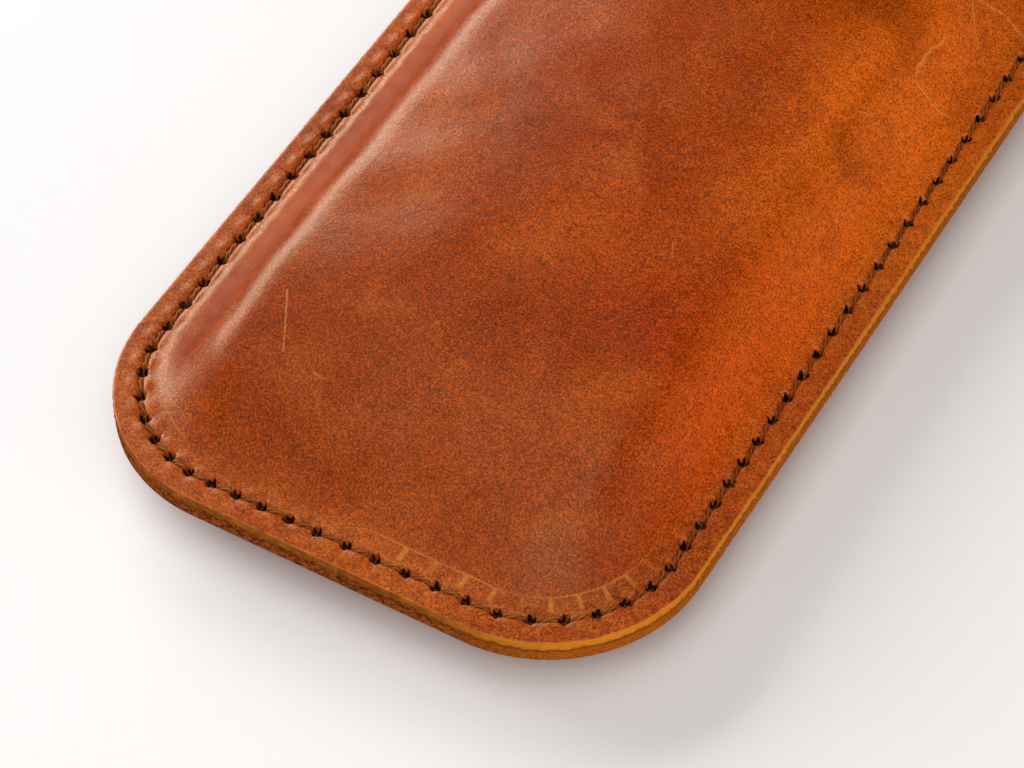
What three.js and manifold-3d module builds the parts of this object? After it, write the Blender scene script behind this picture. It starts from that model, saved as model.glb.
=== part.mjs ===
// A leather case for three fountain pens, in millimetres, +Z up.
//
// Two moulded leather panels are sewn together along both sides and round one closed end.
// The back panel's hide runs on past the open mouth as a strap, which folds up over the mouth
// and again over the front, where it ends as a rounded flap held by a brass snap.
// Two suede walls inside part the pens. +Y points at the mouth and the case lies on its back.

import * as THREE from "three";
import { mergeVertices } from "three/addons/utils/BufferGeometryUtils.js";
import Module from "manifold-3d";

const wasm = await Module();
wasm.setup();

// ---- Driving dimensions -------------------------------------------------------------------

const LEATHER = 1.7; // thickness of the outer hide
const SUEDE = 0.8; // thickness of the strap's lining
const GLUE_GAP = 0.2; // glue line between two layers

const SEAM_WIDTH = 76.6; // between the stitch lines of the two long sides
const SEAM_RADIUS = 18.2; // of the stitch line round the closed end's corners
const SEAM_MARGIN = 3.6; // from a stitch line out to the cut edge
const CASE_LENGTH = 178.6; // closed end to the stitches on the back of the folded strap

const BACK_DEPTH = 6; // how far the back panel is moulded out below its flange
const WALL_RISE = 9.6; // height of the front panel's shoulders above its flange
const CROWN_RISE = 3; // how much higher the middle of the front stands
// Each moulded wall starts at a foot inside the stitches and rises over a width. At the closed
// end it reaches only a share of its height, which grows to the whole over a reach.
const FRONT_WALL = { foot: 1.2, rise: 12.5, endShare: 0.35, endReach: 32 };
const BACK_WALL = { foot: 1.5, rise: 7, endShare: 0.5, endReach: 16 };

const STRAP_WIDTH = 59;
const FLAP_LENGTH = 61.4; // from the end of the upper fold to the tip
const FLAP_CORNER = 22; // radius of the tip's corners
const FOLD_RADIUS = 7; // outside radius of both folds
const FOLD_GAP = 0.2; // each side of a fold's middle, where the layers part into moving nodes
const FLAP_GAP_AT_FOLD = 0.5; // between the front panel and the flap's lining
const FLAP_GAP_AT_SNAP = 2.9; // the closed snap's height between them
const SNAP_FROM_TIP = 13;

const THREAD_WIDTH = 0.7;
const THREAD_HEIGHT = 0.4;
const THREAD_LIFT = 0.2; // between the hide and the thread that lies on it

// ---- Places worked out from them ----------------------------------------------------------

const HALF_WIDTH = SEAM_WIDTH / 2 + SEAM_MARGIN;
const EDGE_RADIUS = SEAM_RADIUS + SEAM_MARGIN;
const END_Y = -CASE_LENGTH / 2; // cut edge of the closed end
const SEAM_END_Y = END_Y + SEAM_MARGIN;
// Where the strap starts to fold.
const FOLD_Y = CASE_LENGTH / 2 - THREAD_LIFT - THREAD_HEIGHT - FOLD_RADIUS;
const MOUTH_Y = FOLD_Y - 9; // front panel's top edge, where the back narrows to the strap
const SEAM_TOP_Y = MOUTH_Y - 3; // last stitch
const NOTCH_HALF_WIDTH = 24; // of the thumb notch in the mouth's edge
const NOTCH_DEPTH = 8;

const FRONT_FLANGE_Z = BACK_DEPTH + 2 * LEATHER + GLUE_GAP; // outside face of the flange
const CROWN_Z = FRONT_FLANGE_Z + WALL_RISE + CROWN_RISE; // top of the front panel
const STACK = LEATHER + GLUE_GAP + SUEDE; // the strap's two layers
const LINING_DEPTH = LEATHER + GLUE_GAP;
const UPPER_FOLD_Z = CROWN_Z + FLAP_GAP_AT_FOLD + STACK;
const LINING_Z = CROWN_Z + FLAP_GAP_AT_SNAP; // inside face of the lining at the snap
const SNAP_Y = FOLD_Y - FLAP_LENGTH + SNAP_FROM_TIP;

const RIVET_RADIUS = 1.8;
const RIVET_HOLE_RADIUS = 2.05;
const ROUND_SIDES = 28;

// ---- Materials ----------------------------------------------------------------------------

const material = (color, roughness, metalness = 0) =>
  new THREE.MeshStandardMaterial({ color, roughness, metalness });
const HIDE = material(0xa6501b, 0.5);
const INSIDE_SUEDE = material(0x8a5a34, 0.95);
const THREAD = material(0x5a2f16, 0.8);
const BRASS = material(0x8f6f3a, 0.35, 1);

// ---- Small tools --------------------------------------------------------------------------

const clamp01 = (t) => Math.min(1, Math.max(0, t));
const ease = (t) => clamp01(t) ** 2 * (3 - 2 * clamp01(t));
const mix = (a, b, t) => a + (b - a) * t;
const steps = (count) => Array.from({ length: count + 1 }, (_, i) => i / count);
const span = (from, to, count) => steps(count).map((t) => mix(from, to, t));

function solidOf(geometry) {
  const bare = geometry.clone();
  bare.deleteAttribute("normal");
  bare.deleteAttribute("uv");
  const merged = mergeVertices(bare, 1e-4);
  return new wasm.Manifold(
    new wasm.Mesh({
      numProp: 3,
      vertProperties: merged.attributes.position.array,
      triVerts: new Uint32Array(merged.index.array),
    }),
  );
}

function geometryOf(solid) {
  const { vertProperties, triVerts } = solid.getMesh();
  const geometry = new THREE.BufferGeometry();
  geometry.setAttribute("position", new THREE.BufferAttribute(vertProperties, 3));
  geometry.setIndex(new THREE.BufferAttribute(triVerts, 1));
  geometry.computeVertexNormals();
  return geometry;
}

// A geometry with the snap's rivet hole drilled through it between two heights.
function drilled(geometry, low, high) {
  const drill = new THREE.CylinderGeometry(
    RIVET_HOLE_RADIUS,
    RIVET_HOLE_RADIUS,
    high - low,
    ROUND_SIDES,
  );
  drill.rotateX(Math.PI / 2).translate(0, SNAP_Y, (low + high) / 2);
  return geometryOf(solidOf(geometry).subtract(solidOf(drill)));
}

// A closed sheet between two surfaces: a box whose grid is moved onto them.
// across and along hold the grid's own values, and outer and inner turn a pair into a point.
function sheet(across, along, outer, inner) {
  const box = new THREE.BoxGeometry(2, 2, 2, across.length - 1, along.length - 1, 1);
  const position = box.attributes.position;
  for (let i = 0; i < position.count; i++) {
    const column = Math.round(((position.getX(i) + 1) / 2) * (across.length - 1));
    const row = Math.round(((position.getY(i) + 1) / 2) * (along.length - 1));
    const surface = position.getZ(i) > 0 ? outer : inner;
    position.setXYZ(i, ...surface(across[column], along[row]));
  }
  return box;
}

// The surface a distance under another one, along its normal.
function under(surface, distance) {
  if (distance === 0) return surface;
  const step = 0.02;
  return (u, v) => {
    const point = (du, dv) => new THREE.Vector3(...surface(u + du, v + dv));
    const alongU = point(step, 0).sub(point(-step, 0));
    const alongV = point(0, step).sub(point(0, -step));
    const normal = alongU.cross(alongV).normalize();
    return point(0, 0).addScaledVector(normal, -distance).toArray();
  };
}

// A layer of some thickness whose outer face lies a depth under a surface.
const layer = (across, along, surface, depth, thickness) =>
  sheet(across, along, under(surface, depth), under(surface, depth + thickness));

// Columns from one edge (-1) to the other (1), closest together near the edges.
function columns(half) {
  const right = steps(half).map((t) => 1 - (1 - t) ** 1.7);
  return [...right.slice(1).map((u) => -u).reverse(), ...right];
}

// Distances from a rounded end to the end of its corners, closest together at the start.
const cornerRows = (radius, count) =>
  steps(count).map((t) => radius * (1 - Math.cos((t * Math.PI) / 2)));

// ---- The case's outline and moulded shape -------------------------------------------------

// Half the width of a round-cornered end, at a distance in from it.
function roundedHalfWidth(halfWidth, radius, distance) {
  const rise = radius - Math.min(radius, Math.max(0, distance));
  return halfWidth - radius + Math.sqrt(radius ** 2 - rise ** 2);
}

const frontHalfWidth = (y) => roundedHalfWidth(HALF_WIDTH, EDGE_RADIUS, y - END_Y);

const backHalfWidth = (y) =>
  frontHalfWidth(y) - (HALF_WIDTH - STRAP_WIDTH / 2) * ease((y - MOUTH_Y) / (FOLD_Y - MOUTH_Y));

// How far a point lies inside the stitch line.
function fromSeam(x, y) {
  const side = SEAM_WIDTH / 2 - Math.abs(x);
  const end = y - SEAM_END_Y;
  if (side < SEAM_RADIUS && end < SEAM_RADIUS) {
    return SEAM_RADIUS - Math.hypot(SEAM_RADIUS - side, SEAM_RADIUS - end);
  }
  return Math.min(side, end);
}

// A shoulder's height from 0 to 1: it starts softly and ends in a long round.
const shoulder = (t) => 1 - (1 - clamp01(t) ** 1.7) ** 2.6;

// A moulded wall's height from 0 to 1.
function wall(x, y, shape) {
  const share = mix(shape.endShare, 1, shoulder((y - SEAM_END_Y) / shape.endReach));
  return share * shoulder((fromSeam(x, y) - shape.foot) / shape.rise);
}

// How far the crown has dropped at x from its height in the middle.
const crownDrop = (x) => CROWN_RISE * (Math.abs(x) / (SEAM_WIDTH / 2)) ** 2.2;

function frontZ(x, y) {
  const crown = (CROWN_RISE - crownDrop(x)) * ease((y - SEAM_END_Y) / 60);
  return FRONT_FLANGE_Z + wall(x, y, FRONT_WALL) * (WALL_RISE + crown);
}

const backZ = (x, y) => BACK_DEPTH * (1 - wall(x, y, BACK_WALL));

function frontPanel() {
  const notch = (x) => NOTCH_DEPTH * ease(1 - Math.abs(x) / NOTCH_HALF_WIDTH);
  const surface = (u, row) => {
    const x = u * frontHalfWidth(row);
    const y = row - notch(x) * ease((row - MOUTH_Y + 30) / 30);
    return [x, y, frontZ(x, y)];
  };
  const rows = [
    ...cornerRows(EDGE_RADIUS, 9).map((distance) => END_Y + distance),
    ...span(END_Y + EDGE_RADIUS, MOUTH_Y, 10).slice(1),
  ];
  return drilled(layer(columns(13), rows, surface, 0, LEATHER), CROWN_Z - 5, CROWN_Z + 2);
}

// ---- The hide of the back, the strap and the flap -----------------------------------------

// Along the strap, s is the distance from the start of the lower fold: the back panel has
// s below 0, and the folds are quarter turns with an upright stretch between them.
const FOLD = (Math.PI / 2) * FOLD_RADIUS;
const UPRIGHT = UPPER_FOLD_Z - 2 * FOLD_RADIUS;
const FLAP_START = 2 * FOLD + UPRIGHT;
const TIP = FLAP_START + FLAP_LENGTH;
const LOWER_FOLD_MIDDLE = FOLD / 2;
const UPPER_FOLD_MIDDLE = FLAP_START - FOLD / 2;

function strapSection(s) {
  if (s < 0) return [FOLD_Y + s, 0];
  if (s < FOLD) {
    const turn = s / FOLD_RADIUS;
    return [FOLD_Y + FOLD_RADIUS * Math.sin(turn), FOLD_RADIUS * (1 - Math.cos(turn))];
  }
  if (s < FOLD + UPRIGHT) return [FOLD_Y + FOLD_RADIUS, FOLD_RADIUS + s - FOLD];
  if (s < FLAP_START) {
    const turn = (FLAP_START - s) / FOLD_RADIUS;
    return [
      FOLD_Y + FOLD_RADIUS * Math.sin(turn),
      UPPER_FOLD_Z - FOLD_RADIUS * (1 - Math.cos(turn)),
    ];
  }
  const run = s - FLAP_START;
  const lift = (FLAP_GAP_AT_SNAP - FLAP_GAP_AT_FOLD) * ease((run - 4) / 34);
  return [FOLD_Y - run, UPPER_FOLD_Z + lift];
}

// The hide's outside at x and s. From the upright stretch on, it takes up the crown's curve.
function hideAt(x, s) {
  const [y, z] = strapSection(s);
  if (s < 0) return [x, y, backZ(x, y)];
  return [x, y, z - crownDrop(x) * ease((s - FOLD) / UPRIGHT)];
}

const strapHalfWidth = (s) => roundedHalfWidth(STRAP_WIDTH / 2, FLAP_CORNER, TIP - s);
const backEdge = (u, s) => hideAt(-u * (s < 0 ? backHalfWidth(FOLD_Y + s) : STRAP_WIDTH / 2), s);
const strapEdge = (u, s) => hideAt(-u * strapHalfWidth(s), s);

function backPanel() {
  const rows = [
    ...cornerRows(EDGE_RADIUS, 8).map((distance) => END_Y + distance - FOLD_Y),
    ...span(END_Y + EDGE_RADIUS - FOLD_Y, MOUTH_Y - FOLD_Y, 5).slice(1),
    ...span(MOUTH_Y - FOLD_Y, 0, 9).slice(1),
    ...span(0, LOWER_FOLD_MIDDLE - FOLD_GAP, 3).slice(1),
  ];
  return layer(columns(12), rows, backEdge, 0, LEATHER);
}

const BACK_LINING_LENGTH = 34; // how far the lining reaches into the case
const BACK_LINING_WIDTH = 56;

function backLining() {
  const surface = (u, s) => hideAt((-u * BACK_LINING_WIDTH) / 2, s);
  const rows = [-BACK_LINING_LENGTH, ...span(0, LOWER_FOLD_MIDDLE - FOLD_GAP, 3)];
  return layer(span(-1, 1, 4), rows, surface, LINING_DEPTH, SUEDE);
}

function spineLayer(depth, thickness) {
  const from = LOWER_FOLD_MIDDLE + FOLD_GAP;
  const to = UPPER_FOLD_MIDDLE - FOLD_GAP;
  const rows = [
    ...span(from, FOLD, 3),
    ...span(FOLD, FOLD + UPRIGHT, 4).slice(1),
    ...span(FOLD + UPRIGHT, to, 3).slice(1),
  ];
  return layer(span(-1, 1, 10), rows, strapEdge, depth, thickness);
}

function flapLayer(depth, thickness) {
  const rows = [
    ...span(UPPER_FOLD_MIDDLE + FOLD_GAP, FLAP_START, 3),
    ...span(FLAP_START, TIP - FLAP_CORNER, 6).slice(1),
    ...cornerRows(FLAP_CORNER, 7)
      .map((distance) => TIP - distance)
      .reverse()
      .slice(1),
  ];
  return drilled(layer(columns(7), rows, strapEdge, depth, thickness), CROWN_Z, CROWN_Z + 15);
}

// ---- Threads ------------------------------------------------------------------------------

// A U of stitches: for t from 0 to 1, a point that comes down one side, runs along the bottom
// and goes up the other side, with the direction out of the U there.
function stitchLine(halfWidth, radius, bottom, top) {
  const corner = (radius * Math.PI) / 2;
  const flat = halfWidth - radius;
  const half = flat + corner + (top - bottom - radius);
  return (t) => {
    const s = (2 * t - 1) * half;
    const side = Math.sign(s) || 1;
    const run = Math.abs(s);
    if (run < flat) return { x: s, y: bottom, outX: 0, outY: -1 };
    if (run < flat + corner) {
      const turn = (run - flat) / radius;
      const outX = side * Math.sin(turn);
      const outY = -Math.cos(turn);
      return { x: side * flat + radius * outX, y: bottom + radius + radius * outY, outX, outY };
    }
    return { x: side * halfWidth, y: bottom + radius + run - flat - corner, outX: side, outY: 0 };
  };
}

// A thread that lies on a surface along a line, given as t to a point and a way out.
// On the right-hand side of a line that runs upwards, the way out is +x.
function threadOn(surface, line, count) {
  const at = (lift) => (u, t) => {
    const { x, y, outX, outY } = line(t);
    const shift = (u * THREAD_WIDTH) / 2;
    return under(surface, -lift)(x + shift * outX, y + shift * outY);
  };
  return sheet([-1, 1], steps(count), at(THREAD_LIFT + THREAD_HEIGHT), at(THREAD_LIFT));
}

const STRAP_STITCH_X = STRAP_WIDTH / 2 - SEAM_MARGIN;
const SPINE_THREAD_END = 0.8; // from a fold's middle to the spine's first or last stitch

const spineStitches = (side) => (t) => ({
  x: side * STRAP_STITCH_X,
  y: mix(LOWER_FOLD_MIDDLE + SPINE_THREAD_END, UPPER_FOLD_MIDDLE - SPINE_THREAD_END, t),
  outX: 1,
  outY: 0,
});

const flapStitches = stitchLine(
  STRAP_STITCH_X,
  FLAP_CORNER - SEAM_MARGIN,
  SEAM_MARGIN,
  TIP - UPPER_FOLD_MIDDLE - SPINE_THREAD_END,
);

// ---- Pen dividers -------------------------------------------------------------------------

const DIVIDER_X = 11; // middle of each wall
const DIVIDER_THICKNESS = 1.2;
const DIVIDER_BOTTOM_Y = -64;
const DIVIDER_TOP_Y = 44;
const DIVIDER_FOOT = 8; // width of the foot that is glued to the back panel
const DIVIDER_HEADROOM = 0.8; // between the wall's top and the front panel

// A suede strip: a wall that stands between two pens, and a foot turned outwards.
function divider(side) {
  const rows = span(DIVIDER_BOTTOM_Y, DIVIDER_TOP_Y, 12);
  const floor = LEATHER + GLUE_GAP;
  const inside = DIVIDER_X - DIVIDER_THICKNESS / 2;
  const outside = DIVIDER_X + DIVIDER_THICKNESS / 2;
  const strip = (from, to, topAt) => {
    const edges = [side * from, side * to].sort((a, b) => a - b);
    return sheet(
      edges,
      rows,
      (x, y) => [x, y, topAt(y)],
      (x, y) => [x, y, floor],
    );
  };
  const wallTop = (y) => frontZ(outside, y) - LEATHER - DIVIDER_HEADROOM;
  const upright = strip(inside, outside, wallTop);
  const foot = strip(outside - 0.3, inside + DIVIDER_FOOT, () => floor + DIVIDER_THICKNESS);
  return geometryOf(solidOf(upright).add(solidOf(foot)));
}

// ---- The snap -----------------------------------------------------------------------------

const METAL_GAP = 0.2; // between the snap's metal and the leather it grips
const PATCH_RADIUS = 9;
const PATCH_THICKNESS = 0.8;
const PATCH_DROP = 1; // from the stud rivet's top face to the patch over its head

// A turned part: its profile, as [radius, height] pairs from the axis and back to it.
function turned(profile) {
  const points = profile.map(([r, z]) => new THREE.Vector2(r, z));
  return new THREE.LatheGeometry(points, ROUND_SIDES).rotateX(Math.PI / 2);
}

// A domed cap on the flap, with the rivet that runs through the leather to the socket.
function snapCap() {
  const rivetLength = STACK + METAL_GAP + 0.1;
  return turned([
    [0, -rivetLength],
    [RIVET_RADIUS, -rivetLength],
    [RIVET_RADIUS, 0],
    [6.0, 0],
    [6.25, 0.2],
    [6.25, 0.45],
    [5.6, 0.85],
    [4.2, 1.2],
    [2.2, 1.4],
    [0, 1.45],
  ]);
}

// The socket under the flap: a ring round a cavity for the stud's head.
function snapSocket() {
  return turned([
    [0, -0.4],
    [3.3, -0.4],
    [3.5, -0.7],
    [3.5, -1.4],
    [3.35, -1.75],
    [4.6, -1.75],
    [5.6, -1.3],
    [5.75, -0.5],
    [5.5, 0],
    [0, 0],
  ]);
}

// The stud on the front panel: a flat base, a neck and a rounded head.
function snapStud() {
  return turned([
    [0, 0],
    [5.2, 0],
    [5.2, 0.3],
    [4.2, 0.4],
    [2.2, 0.45],
    [2.1, 0.9],
    [2.6, 1.25],
    [2.6, 1.5],
    [2.1, 1.75],
    [0, 1.85],
  ]);
}

// The stud's rivet, from its flat head inside the case up through the front panel.
function studRivet() {
  return turned([
    [0, -0.55],
    [4.4, -0.55],
    [4.6, -0.35],
    [4.6, 0],
    [RIVET_RADIUS, 0],
    [RIVET_RADIUS, LEATHER + METAL_GAP],
    [0, LEATHER + METAL_GAP],
  ]);
}

// ---- Assembly -----------------------------------------------------------------------------

const penCase = new THREE.Group();

function place(name, geometry, look, y = 0, z = 0) {
  const mesh = new THREE.Mesh(geometry, look);
  mesh.name = name;
  mesh.position.set(0, y, z);
  penCase.add(mesh);
}

place("front_panel", frontPanel(), HIDE);
place("back_panel", backPanel(), HIDE);
place("back_lining", backLining(), INSIDE_SUEDE);
place("divider_left", divider(-1), INSIDE_SUEDE);
place("divider_right", divider(1), INSIDE_SUEDE);

const seam = stitchLine(SEAM_WIDTH / 2, SEAM_RADIUS, SEAM_END_Y, SEAM_TOP_Y);
const flangeTop = (x, y) => [x, y, FRONT_FLANGE_Z];
const flangeBottom = (x, y) => [-x, y, BACK_DEPTH];
place("seam_needle_thread", threadOn(flangeTop, seam, 64), THREAD);
place("seam_bobbin_thread", threadOn(flangeBottom, seam, 64), THREAD);

place("flap_spine", spineLayer(0, LEATHER), HIDE);
place("spine_lining", spineLayer(LINING_DEPTH, SUEDE), INSIDE_SUEDE);
place("flap_panel", flapLayer(0, LEATHER), HIDE);
place("flap_lining", flapLayer(LINING_DEPTH, SUEDE), INSIDE_SUEDE);

const strapOutside = (x, s) => hideAt(-x, s); // mirrored, so that its normal points out
const strapInside = under((x, s) => hideAt(x, s), -STACK);
for (const [side, word] of [
  [-1, "left"],
  [1, "right"],
]) {
  const needle = threadOn(strapOutside, spineStitches(-side), 14);
  const bobbin = threadOn(strapInside, spineStitches(side), 14);
  place(`spine_needle_thread_${word}`, needle, THREAD);
  place(`spine_bobbin_thread_${word}`, bobbin, THREAD);
}
const flapOutside = (x, v) => hideAt(x, TIP - v);
const flapInside = under((x, v) => hideAt(-x, TIP - v), -STACK);
place("flap_needle_thread", threadOn(flapOutside, flapStitches, 44), THREAD);
place("flap_bobbin_thread", threadOn(flapInside, flapStitches, 44), THREAD);

const rivetTop = CROWN_Z - LEATHER - METAL_GAP;
place("snap_cap", snapCap(), BRASS, SNAP_Y, LINING_Z + STACK + METAL_GAP);
place("snap_socket", snapSocket(), BRASS, SNAP_Y, LINING_Z - METAL_GAP);
place("snap_stud", snapStud(), BRASS, SNAP_Y, CROWN_Z + METAL_GAP);
place("stud_rivet", studRivet(), BRASS, SNAP_Y, rivetTop);
const patch = new THREE.CylinderGeometry(PATCH_RADIUS, PATCH_RADIUS, PATCH_THICKNESS, ROUND_SIDES);
const patchZ = rivetTop - PATCH_DROP - PATCH_THICKNESS / 2;
place("stud_patch", patch.rotateX(Math.PI / 2), INSIDE_SUEDE, SNAP_Y, patchZ);

export default penCase;
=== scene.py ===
"""Looks of the leather pen case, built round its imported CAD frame.

Lengths are in millimetres until a mesh is made, and in metres in Blender. Each leather piece is
one closed mesh: columns run inward from its cut edge to its middle line, and rows go from the
middle of the outer face, over the edge, to the middle of the inner face.
"""
import math

import bpy
import numpy as np
from mathutils import Matrix, Vector

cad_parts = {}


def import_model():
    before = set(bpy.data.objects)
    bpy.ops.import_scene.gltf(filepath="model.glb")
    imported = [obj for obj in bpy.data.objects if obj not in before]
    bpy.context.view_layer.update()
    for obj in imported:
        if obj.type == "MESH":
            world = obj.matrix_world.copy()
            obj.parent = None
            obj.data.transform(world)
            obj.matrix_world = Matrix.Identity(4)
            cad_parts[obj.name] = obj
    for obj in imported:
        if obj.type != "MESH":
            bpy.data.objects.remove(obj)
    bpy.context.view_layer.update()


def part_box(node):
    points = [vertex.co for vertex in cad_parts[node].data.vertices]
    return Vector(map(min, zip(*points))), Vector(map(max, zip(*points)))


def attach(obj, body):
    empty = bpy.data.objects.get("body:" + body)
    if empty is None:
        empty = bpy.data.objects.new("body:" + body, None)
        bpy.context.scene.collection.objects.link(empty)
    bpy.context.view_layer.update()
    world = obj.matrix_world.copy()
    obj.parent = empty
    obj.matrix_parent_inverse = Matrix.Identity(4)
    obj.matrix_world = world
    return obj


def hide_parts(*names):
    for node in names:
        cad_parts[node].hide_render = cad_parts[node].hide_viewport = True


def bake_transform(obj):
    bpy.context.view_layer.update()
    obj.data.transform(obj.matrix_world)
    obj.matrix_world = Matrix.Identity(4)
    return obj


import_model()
MM = 0.001

# ---- Sizes shared with the CAD source ------------------------------------------------------

FRONT_LOW, FRONT_HIGH = (np.array(corner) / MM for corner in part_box("front_panel"))
BACK_HIGH = np.array(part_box("back_panel")[1]) / MM
FLAP_LOW, FLAP_HIGH = (np.array(corner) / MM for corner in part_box("flap_panel"))

LEATHER = 1.7
SUEDE = 0.8
GLUE_GAP = 0.2
LINING_DEPTH = LEATHER + GLUE_GAP
STACK = LINING_DEPTH + SUEDE
SEAM_MARGIN = 3.6
HALF_WIDTH = FRONT_HIGH[0]
SEAM_HALF = HALF_WIDTH - SEAM_MARGIN
SEAM_RADIUS = 18.2
EDGE_RADIUS = SEAM_RADIUS + SEAM_MARGIN
END_Y = FRONT_LOW[1]
SEAM_END_Y = END_Y + SEAM_MARGIN
MOUTH_Y = FRONT_HIGH[1]
FOLD_Y = MOUTH_Y + 9
SEAM_TOP_Y = MOUTH_Y - 3
NOTCH_HALF_WIDTH = 24
NOTCH_DEPTH = 8
BACK_DEPTH = 6
FLANGE_Z = BACK_DEPTH + 2 * LEATHER + GLUE_GAP
CROWN_Z = FRONT_HIGH[2]
CROWN_RISE = 3
WALL_RISE = CROWN_Z - FLANGE_Z - CROWN_RISE
FRONT_WALL = {"foot": 1.2, "rise": 12.5, "end_share": 0.35, "end_reach": 32}
BACK_WALL = {"foot": 1.5, "rise": 7, "end_share": 0.5, "end_reach": 16}

STRAP_HALF = FLAP_HIGH[0]
FLAP_CORNER = 22
FOLD_RADIUS = 7
FLAP_GAP_AT_FOLD = 0.5
FLAP_GAP_AT_SNAP = 2.9
UPPER_FOLD_Z = CROWN_Z + FLAP_GAP_AT_FOLD + STACK
TIP_Y = 20.3
FLAP_LENGTH = FOLD_Y - TIP_Y
SNAP_Y = TIP_Y + 13
FOLD = math.pi / 2 * FOLD_RADIUS
UPRIGHT = UPPER_FOLD_Z - 2 * FOLD_RADIUS
FLAP_START = 2 * FOLD + UPRIGHT
TIP = FLAP_START + FLAP_LENGTH
MIDDLE = FOLD + UPRIGHT / 2  # where the strap's two bending pieces meet


# ---- Smooth functions ----------------------------------------------------------------------

def ease(t):
    t = np.clip(t, 0, 1)
    return t * t * (3 - 2 * t)


def bell(t, width):
    return np.exp(-(t / width) ** 2)


def mix(a, b, t):
    return a + (b - a) * t


def ripple(seed, size, octaves=3):
    """A smooth random function of a point, about -1 to 1, with features of the given size."""
    rng = np.random.default_rng(seed)
    waves = []
    for octave in range(octaves):
        for _ in range(9):
            direction = rng.normal(size=3)
            direction /= np.linalg.norm(direction)
            number = 2 * math.pi / (size * rng.uniform(0.7, 1.5)) * 2**octave
            waves.append((direction * number, rng.uniform(0, 2 * math.pi), 0.5**octave))

    def at(points):
        total = sum(a * np.sin(points @ k + phase) for k, phase, a in waves)
        return total / (2.6 * (2 - 0.5 ** (octaves - 1)))

    return at


# ---- The moulded shape ---------------------------------------------------------------------

def from_seam(x, y):
    """Distance inside the stitch line of the case."""
    return CASE_SEAM.locate(x, y)[1]


def shoulder(t):
    return 1 - (1 - np.clip(t, 0, 1) ** 1.7) ** 2.6


def wall(x, y, shape):
    share = mix(shape["end_share"], 1, shoulder((y - SEAM_END_Y) / shape["end_reach"]))
    return share * shoulder((from_seam(x, y) - shape["foot"]) / shape["rise"])


def crown_drop(x):
    return CROWN_RISE * (np.abs(x) / SEAM_HALF) ** 2.2


def front_z(x, y):
    crown = (CROWN_RISE - crown_drop(x)) * ease((y - SEAM_END_Y) / 60)
    return FLANGE_Z + wall(x, y, FRONT_WALL) * (WALL_RISE + crown)


def front_point(x, y):
    notch = NOTCH_DEPTH * ease(1 - np.abs(x) / NOTCH_HALF_WIDTH)
    y = y - notch * ease((y - MOUTH_Y + 30) / 30)
    return np.stack([x, y, front_z(x, y)], -1)


def strap_section(v):
    """y and z of the strap's outside at v, the distance from the start of the lower fold."""
    turn_up = np.clip(v, 0, FOLD) / FOLD_RADIUS
    turn_down = np.clip(FLAP_START - v, 0, FOLD) / FOLD_RADIUS
    run = v - FLAP_START
    lift = (FLAP_GAP_AT_SNAP - FLAP_GAP_AT_FOLD) * ease((run - 4) / 34)
    cases = [v < FOLD, v < FOLD + UPRIGHT, v < FLAP_START]
    y = np.select(
        cases,
        [
            FOLD_Y + np.minimum(v, 0) + FOLD_RADIUS * np.sin(turn_up),
            np.full_like(v, FOLD_Y + FOLD_RADIUS),
            FOLD_Y + FOLD_RADIUS * np.sin(turn_down),
        ],
        FOLD_Y - run,
    )
    z = np.select(
        cases,
        [
            FOLD_RADIUS * (1 - np.cos(turn_up)),
            FOLD_RADIUS + v - FOLD,
            UPPER_FOLD_Z - FOLD_RADIUS * (1 - np.cos(turn_down)),
        ],
        UPPER_FOLD_Z + lift,
    )
    return y, z


def hide_point(x, v):
    """The outside of the back panel (v below 0), the strap and the flap."""
    y, z = strap_section(v)
    back = BACK_DEPTH * (1 - wall(x, y, BACK_WALL))
    rounded = z - crown_drop(x) * ease((v - FOLD) / UPRIGHT)
    return np.stack([x, y, np.where(v < 0, back, rounded)], -1)


def normals(surface, x, v, outward):
    step = 0.05
    along_x = surface(x + step, v) - surface(x - step, v)
    along_v = surface(x, v + step) - surface(x, v - step)
    n = np.cross(along_x, along_v) * outward
    return n / np.maximum(np.linalg.norm(n, axis=-1, keepdims=True), 1e-12)


# ---- Stitches ------------------------------------------------------------------------------

MEAN_PITCH = 4.23
THREAD_ENTRY = 0.72  # a thread dives into its hole this far from the hole's middle


def machine_pitch(run):
    """Length of the stitch at a place on the case's seam: the machine slows in the corners."""
    return 4.44 - 0.88 * bell(run + 22.5, 17) - 0.6 * bell(run - 53, 25.4)


def seam_holes():
    flat = SEAM_HALF - SEAM_RADIUS
    limit = flat + SEAM_RADIUS * math.pi / 2 + SEAM_TOP_Y - SEAM_END_Y - SEAM_RADIUS
    holes = [1.2]
    while holes[-1] + machine_pitch(holes[-1]) < limit:
        holes.append(holes[-1] + machine_pitch(holes[-1]))
    while holes[0] - machine_pitch(holes[0]) > -limit:
        holes.insert(0, holes[0] - machine_pitch(holes[0]))
    return np.array(holes)


def thread_offset(t):
    """How far inside the stitch line a thread lies, at a share of the way between its holes."""
    return 0.3 * t - 0.1


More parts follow.
